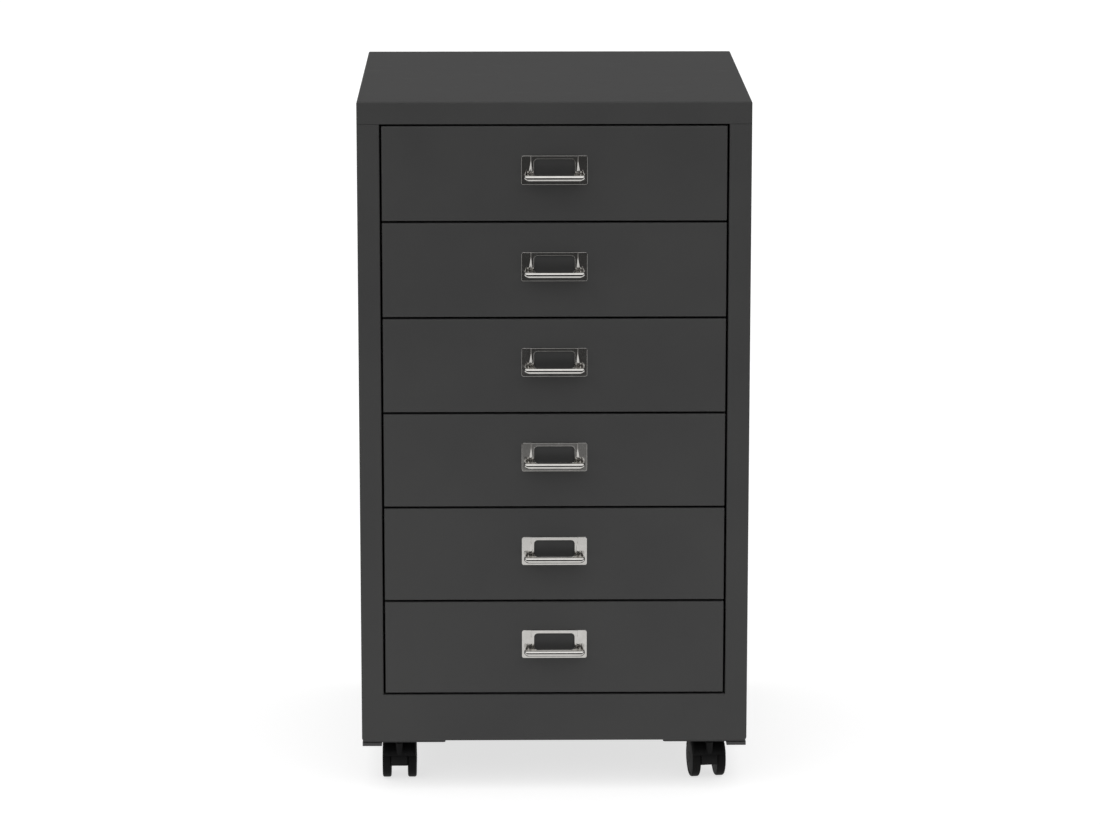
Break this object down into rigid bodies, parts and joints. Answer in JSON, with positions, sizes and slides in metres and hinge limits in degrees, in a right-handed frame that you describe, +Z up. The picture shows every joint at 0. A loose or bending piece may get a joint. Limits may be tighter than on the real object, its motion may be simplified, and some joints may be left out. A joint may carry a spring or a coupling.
{
  "type": "drawer cabinet",
  "caption": "Tall narrow steel cabinet of shallow sliding drawers with label-holder pulls, standing on swivelling twin-wheel castors.",
  "frame": {"origin": "centre of the whole footprint, drawer pulls and back screw heads included, on the floor", "axes": "+X to the right seen from the front, +Y to the back, +Z up; the drawers open towards -Y"},
  "size_m": [0.385, 0.4291, 0.695],
  "materials": {
    "paint": "smooth dark grey powder coat, low sheen",
    "inner_paint": "smooth dark grey powder coat, low sheen",
    "chrome": "polished nickel-chrome plate",
    "zinc": "dull zinc plate",
    "castor_plastic": "fine-grained black nylon",
    "glide_plastic": "dark grey polypropylene"
  },
  "bodies": {
    "cabinet": {"side_panel_left": "paint", "side_panel_right": "paint", "top_panel": "paint", "back_panel": "paint", "base_panel": "paint", "front_rail": "paint", "castor_plates": "paint", "drawer_runners_left": "inner_paint", "drawer_runners_right": "inner_paint", "castor_sockets": "castor_plastic", "corner_glides": "glide_plastic", "back_screws": "zinc", "plate_screws": "zinc"},
    "drawer_1": {"drawer_1_front": "paint", "drawer_1_tray": "inner_paint", "drawer_1_pull": "chrome", "drawer_1_rivets": "zinc"},
    "drawer_2": {"drawer_2_front": "paint", "drawer_2_tray": "inner_paint", "drawer_2_pull": "chrome", "drawer_2_rivets": "zinc"},
    "drawer_3": {"drawer_3_front": "paint", "drawer_3_tray": "inner_paint", "drawer_3_pull": "chrome", "drawer_3_rivets": "zinc"},
    "drawer_4": {"drawer_4_front": "paint", "drawer_4_tray": "inner_paint", "drawer_4_pull": "chrome", "drawer_4_rivets": "zinc"},
    "drawer_5": {"drawer_5_front": "paint", "drawer_5_tray": "inner_paint", "drawer_5_pull": "chrome", "drawer_5_rivets": "zinc"},
    "drawer_6": {"drawer_6_front": "paint", "drawer_6_tray": "inner_paint", "drawer_6_pull": "chrome", "drawer_6_rivets": "zinc"},
    "castor_front_left": {"castor_front_left_housing": "castor_plastic", "castor_front_left_stem": "zinc", "castor_front_left_axle": "zinc"},
    "castor_front_left_wheel_left": {"castor_front_left_wheel_left": "castor_plastic"},
    "castor_front_left_wheel_right": {"castor_front_left_wheel_right": "castor_plastic"},
    "castor_front_right": {"castor_front_right_housing": "castor_plastic", "castor_front_right_stem": "zinc", "castor_front_right_axle": "zinc"},
    "castor_front_right_wheel_left": {"castor_front_right_wheel_left": "castor_plastic"},
    "castor_front_right_wheel_right": {"castor_front_right_wheel_right": "castor_plastic"},
    "castor_rear_left": {"castor_rear_left_housing": "castor_plastic", "castor_rear_left_stem": "zinc", "castor_rear_left_axle": "zinc"},
    "castor_rear_left_wheel_left": {"castor_rear_left_wheel_left": "castor_plastic"},
    "castor_rear_left_wheel_right": {"castor_rear_left_wheel_right": "castor_plastic"},
    "castor_rear_right": {"castor_rear_right_housing": "castor_plastic", "castor_rear_right_stem": "zinc", "castor_rear_right_axle": "zinc"},
    "castor_rear_right_wheel_left": {"castor_rear_right_wheel_left": "castor_plastic"},
    "castor_rear_right_wheel_right": {"castor_rear_right_wheel_right": "castor_plastic"}
  },
  "joints": [
    {"name": "drawer_1_slide", "type": "slide", "parent": "cabinet", "child": "drawer_1", "axis": [0, -1, 0], "range_m": [0, 0.3]},
    {"name": "drawer_2_slide", "type": "slide", "parent": "cabinet", "child": "drawer_2", "axis": [0, -1, 0], "range_m": [0, 0.3]},
    {"name": "drawer_3_slide", "type": "slide", "parent": "cabinet", "child": "drawer_3", "axis": [0, -1, 0], "range_m": [0, 0.3]},
    {"name": "drawer_4_slide", "type": "slide", "parent": "cabinet", "child": "drawer_4", "axis": [0, -1, 0], "range_m": [0, 0.3]},
    {"name": "drawer_5_slide", "type": "slide", "parent": "cabinet", "child": "drawer_5", "axis": [0, -1, 0], "range_m": [0, 0.3]},
    {"name": "drawer_6_slide", "type": "slide", "parent": "cabinet", "child": "drawer_6", "axis": [0, -1, 0], "range_m": [0, 0.3]},
    {"name": "swivel_front_left", "type": "hinge", "parent": "cabinet", "child": "castor_front_left", "pos_m": [-0.156, -0.1575, 0.0495], "axis": [0, 0, 1], "continuous": true},
    {"name": "wheel_front_left_left", "type": "hinge", "parent": "castor_front_left", "child": "castor_front_left_wheel_left", "pos_m": [-0.156, -0.1465, 0.02], "axis": [1, 0, 0], "continuous": true},
    {"name": "wheel_front_left_right", "type": "hinge", "parent": "castor_front_left", "child": "castor_front_left_wheel_right", "pos_m": [-0.156, -0.1465, 0.02], "axis": [1, 0, 0], "continuous": true},
    {"name": "swivel_front_right", "type": "hinge", "parent": "cabinet", "child": "castor_front_right", "pos_m": [0.156, -0.1575, 0.0495], "axis": [0, 0, 1], "continuous": true},
    {"name": "wheel_front_right_left", "type": "hinge", "parent": "castor_front_right", "child": "castor_front_right_wheel_left", "pos_m": [0.15447, -0.14661, 0.02], "axis": [0.9903, 0.1392, 0], "continuous": true},
    {"name": "wheel_front_right_right", "type": "hinge", "parent": "castor_front_right", "child": "castor_front_right_wheel_right", "pos_m": [0.15447, -0.14661, 0.02], "axis": [0.9903, 0.1392, 0], "continuous": true},
    {"name": "swivel_rear_left", "type": "hinge", "parent": "cabinet", "child": "castor_rear_left", "pos_m": [-0.156, 0.1725, 0.0495], "axis": [0, 0, 1], "continuous": true},
    {"name": "wheel_rear_left_left", "type": "hinge", "parent": "castor_rear_left", "child": "castor_rear_left_wheel_left", "pos_m": [-0.156, 0.1835, 0.02], "axis": [1, 0, 0], "continuous": true},
    {"name": "wheel_rear_left_right", "type": "hinge", "parent": "castor_rear_left", "child": "castor_rear_left_wheel_right", "pos_m": [-0.156, 0.1835, 0.02], "axis": [1, 0, 0], "continuous": true},
    {"name": "swivel_rear_right", "type": "hinge", "parent": "cabinet", "child": "castor_rear_right", "pos_m": [0.156, 0.1725, 0.0495], "axis": [0, 0, 1], "continuous": true},
    {"name": "wheel_rear_right_left", "type": "hinge", "parent": "castor_rear_right", "child": "castor_rear_right_wheel_left", "pos_m": [0.156, 0.1835, 0.02], "axis": [1, 0, 0], "continuous": true},
    {"name": "wheel_rear_right_right", "type": "hinge", "parent": "castor_rear_right", "child": "castor_rear_right_wheel_right", "pos_m": [0.156, 0.1835, 0.02], "axis": [1, 0, 0], "continuous": true}
  ]
}
